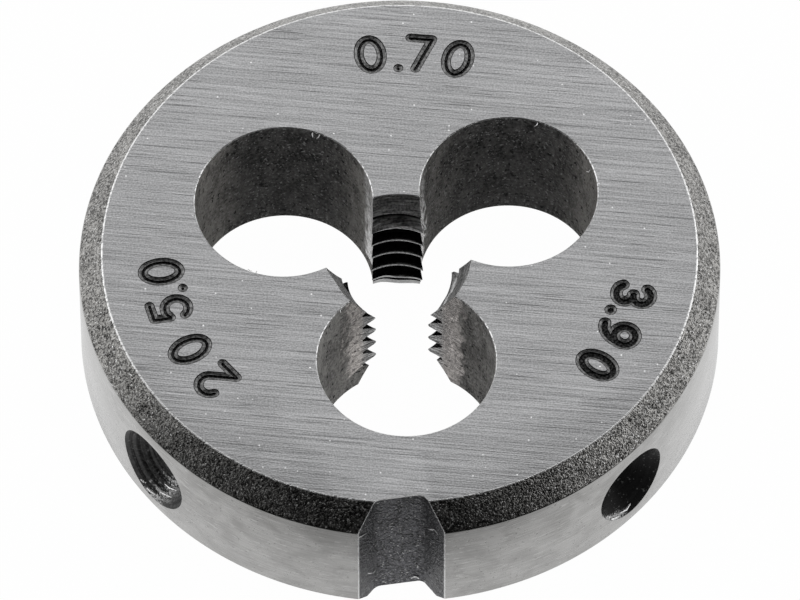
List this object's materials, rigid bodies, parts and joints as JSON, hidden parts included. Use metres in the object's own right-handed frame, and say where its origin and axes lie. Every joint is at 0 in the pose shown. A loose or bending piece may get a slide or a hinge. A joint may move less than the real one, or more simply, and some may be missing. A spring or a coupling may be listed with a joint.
{
  "type": "round threading die",
  "caption": "Round metric threading die: a flat steel disc with chip holes around a threaded bore, a notched rim and conical screw dimples.",
  "frame": {"origin": "axis of the threaded bore, on the back face that the die rests on", "axes": "+Z along the bore towards the front face with the wide rim chamfer, -Y towards the notch in the rim"},
  "size_m": [0.02, 0.0199, 0.005],
  "materials": {
    "ground_steel": "ground faces and rim, rough dark chamfers and chip holes"
  },
  "bodies": {
    "root": {"round_die": "ground_steel"}
  },
  "joints": []
}
